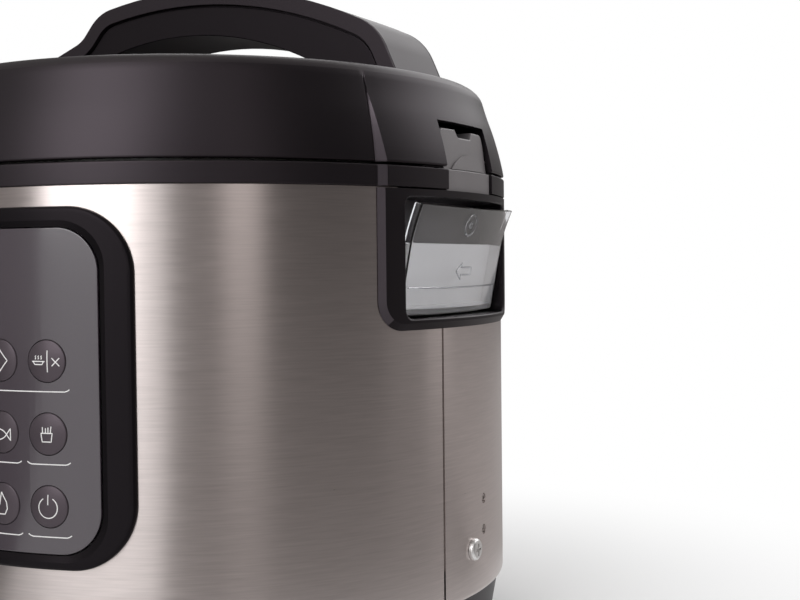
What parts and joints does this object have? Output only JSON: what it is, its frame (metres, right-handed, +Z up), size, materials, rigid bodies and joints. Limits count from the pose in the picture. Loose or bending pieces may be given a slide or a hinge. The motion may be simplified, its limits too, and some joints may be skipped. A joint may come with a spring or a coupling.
{
  "type": "multicooker",
  "caption": "Round countertop multicooker with a steel body, control panel, side-hinged lid, turning arch handle and a clear tip-out condensate cup.",
  "frame": {"origin": "on the table, on the axis of the round body", "axes": "+Z up, control panel faces -Y, lid hinge and condensate cup on the +X side"},
  "size_m": [0.2834, 0.2849, 0.2995],
  "materials": {
    "black_plastic": "satin moulded plastic",
    "dark_grey_plastic": "satin moulded plastic",
    "grey_plastic": "fine satin plastic",
    "steel_shell": "brushed round the body",
    "steel": "plain pressed steel",
    "pot_steel": "spun steel, brushed inside",
    "aluminium": "cast",
    "rubber": "matt rubber",
    "silicone": "translucent white silicone",
    "clear_plastic": "clear moulded plastic",
    "panel_gloss": "smoked gloss plastic",
    "frame_gloss": "black gloss plastic",
    "button_plastic": "soft satin plastic",
    "circuit_board": "solder mask",
    "brass": "plain",
    "red_plastic": "satin",
    "heater_tube": "oxidised sheath"
  },
  "bodies": {
    "base": {"base_pan": "black_plastic", "rubber_feet": "rubber", "base_screws": "steel", "outer_shell": "steel_shell", "seam_strip": "steel", "shell_screw": "steel", "upper_ring": "dark_grey_plastic", "hinge_bracket": "black_plastic", "hinge_pin": "steel", "inner_liner": "aluminium", "heating_plate": "aluminium", "heating_element": "heater_tube", "sensor_spring": "steel", "thermal_fuse": "silicone", "power_board": "circuit_board", "board_parts": "black_plastic", "power_inlet": "black_plastic", "inlet_pins": "brass", "inner_pot": "pot_steel", "locking_flange": "steel", "panel_frame": "frame_gloss", "panel_face": "panel_gloss", "control_board": "circuit_board", "display_module": "black_plastic", "tact_switches": "black_plastic"},
    "lid": {"lid_cover": "black_plastic", "lid_inner": "pot_steel", "sealing_ring": "silicone", "lid_screws": "steel", "float_gasket": "silicone", "steam_pipe": "steel", "steam_filter": "steel"},
    "handle": {"locking_ring": "steel", "handle_base": "black_plastic", "handle_arch": "black_plastic", "handle_cap": "grey_plastic", "handle_screws": "steel"},
    "float_valve": {"float_valve": "red_plastic"},
    "steam_valve": {"steam_valve": "black_plastic"},
    "sensor": {"thermal_sensor": "aluminium"},
    "cup": {"condensate_cup": "clear_plastic"},
    "button_r1c1": {"button_r1c1": "button_plastic"},
    "button_r1c2": {"button_r1c2": "button_plastic"},
    "button_r1c3": {"button_r1c3": "button_plastic"},
    "button_r1c4": {"button_r1c4": "button_plastic"},
    "button_r2c1": {"button_r2c1": "button_plastic"},
    "button_r2c2": {"button_r2c2": "button_plastic"},
    "button_r2c3": {"button_r2c3": "button_plastic"},
    "button_r2c4": {"button_r2c4": "button_plastic"},
    "button_r3c1": {"button_r3c1": "button_plastic"},
    "button_r3c2": {"button_r3c2": "button_plastic"},
    "button_r3c3": {"button_r3c3": "button_plastic"},
    "button_r3c4": {"button_r3c4": "button_plastic"}
  },
  "joints": [
    {"name": "lid_hinge", "type": "hinge", "parent": "base", "child": "lid", "pos_m": [0.1352, 0, 0.217], "axis": [0, 1, 0], "range_deg": [0, 85]},
    {"name": "handle_turn", "type": "hinge", "parent": "lid", "child": "handle", "pos_m": [0, 0, 0.25], "axis": [0, 0, 1], "range_deg": [0, 25]},
    {"name": "float_rise", "type": "slide", "parent": "lid", "child": "float_valve", "axis": [0, 0, 1], "range_m": [0, 0.003]},
    {"name": "steam_valve_lift", "type": "slide", "parent": "lid", "child": "steam_valve", "axis": [0, 0, 1], "range_m": [0, 0.003]},
    {"name": "sensor_press", "type": "slide", "parent": "base", "child": "sensor", "axis": [0, 0, -1], "range_m": [0, 0.0015], "stiffness_N_per_m": 2000, "springref_m": -0.002, "deforming": ["sensor_spring"]},
    {"name": "cup_tilt", "type": "hinge", "parent": "base", "child": "cup", "pos_m": [0.128, 0, 0.161], "axis": [0, 1, 0], "range_deg": [-11, 0]},
    {"name": "button_r1c1_press", "type": "slide", "parent": "base", "child": "button_r1c1", "axis": [0.221, 0.9753, 0], "range_m": [0, 0.0008], "stiffness_N_per_m": 1500, "springref_m": -0.0004},
    {"name": "button_r1c2_press", "type": "slide", "parent": "base", "child": "button_r1c2", "axis": [0.0742, 0.9972, 0], "range_m": [0, 0.0008], "stiffness_N_per_m": 1500, "springref_m": -0.0004},
    {"name": "button_r1c3_press", "type": "slide", "parent": "base", "child": "button_r1c3", "axis": [-0.0742, 0.9972, 0], "range_m": [0, 0.0008], "stiffness_N_per_m": 1500, "springref_m": -0.0004},
    {"name": "button_r1c4_press", "type": "slide", "parent": "base", "child": "button_r1c4", "axis": [-0.221, 0.9753, 0], "range_m": [0, 0.0008], "stiffness_N_per_m": 1500, "springref_m": -0.0004},
    {"name": "button_r2c1_press", "type": "slide", "parent": "base", "child": "button_r2c1", "axis": [0.221, 0.9753, 0], "range_m": [0, 0.0008], "stiffness_N_per_m": 1500, "springref_m": -0.0004},
    {"name": "button_r2c2_press", "type": "slide", "parent": "base", "child": "button_r2c2", "axis": [0.0742, 0.9972, 0], "range_m": [0, 0.0008], "stiffness_N_per_m": 1500, "springref_m": -0.0004},
    {"name": "button_r2c3_press", "type": "slide", "parent": "base", "child": "button_r2c3", "axis": [-0.0742, 0.9972, 0], "range_m": [0, 0.0008], "stiffness_N_per_m": 1500, "springref_m": -0.0004},
    {"name": "button_r2c4_press", "type": "slide", "parent": "base", "child": "button_r2c4", "axis": [-0.221, 0.9753, 0], "range_m": [0, 0.0008], "stiffness_N_per_m": 1500, "springref_m": -0.0004},
    {"name": "button_r3c1_press", "type": "slide", "parent": "base", "child": "button_r3c1", "axis": [0.221, 0.9753, 0], "range_m": [0, 0.0008], "stiffness_N_per_m": 1500, "springref_m": -0.0004},
    {"name": "button_r3c2_press", "type": "slide", "parent": "base", "child": "button_r3c2", "axis": [0.0742, 0.9972, 0], "range_m": [0, 0.0008], "stiffness_N_per_m": 1500, "springref_m": -0.0004},
    {"name": "button_r3c3_press", "type": "slide", "parent": "base", "child": "button_r3c3", "axis": [-0.0742, 0.9972, 0], "range_m": [0, 0.0008], "stiffness_N_per_m": 1500, "springref_m": -0.0004},
    {"name": "button_r3c4_press", "type": "slide", "parent": "base", "child": "button_r3c4", "axis": [-0.221, 0.9753, 0], "range_m": [0, 0.0008], "stiffness_N_per_m": 1500, "springref_m": -0.0004}
  ]
}
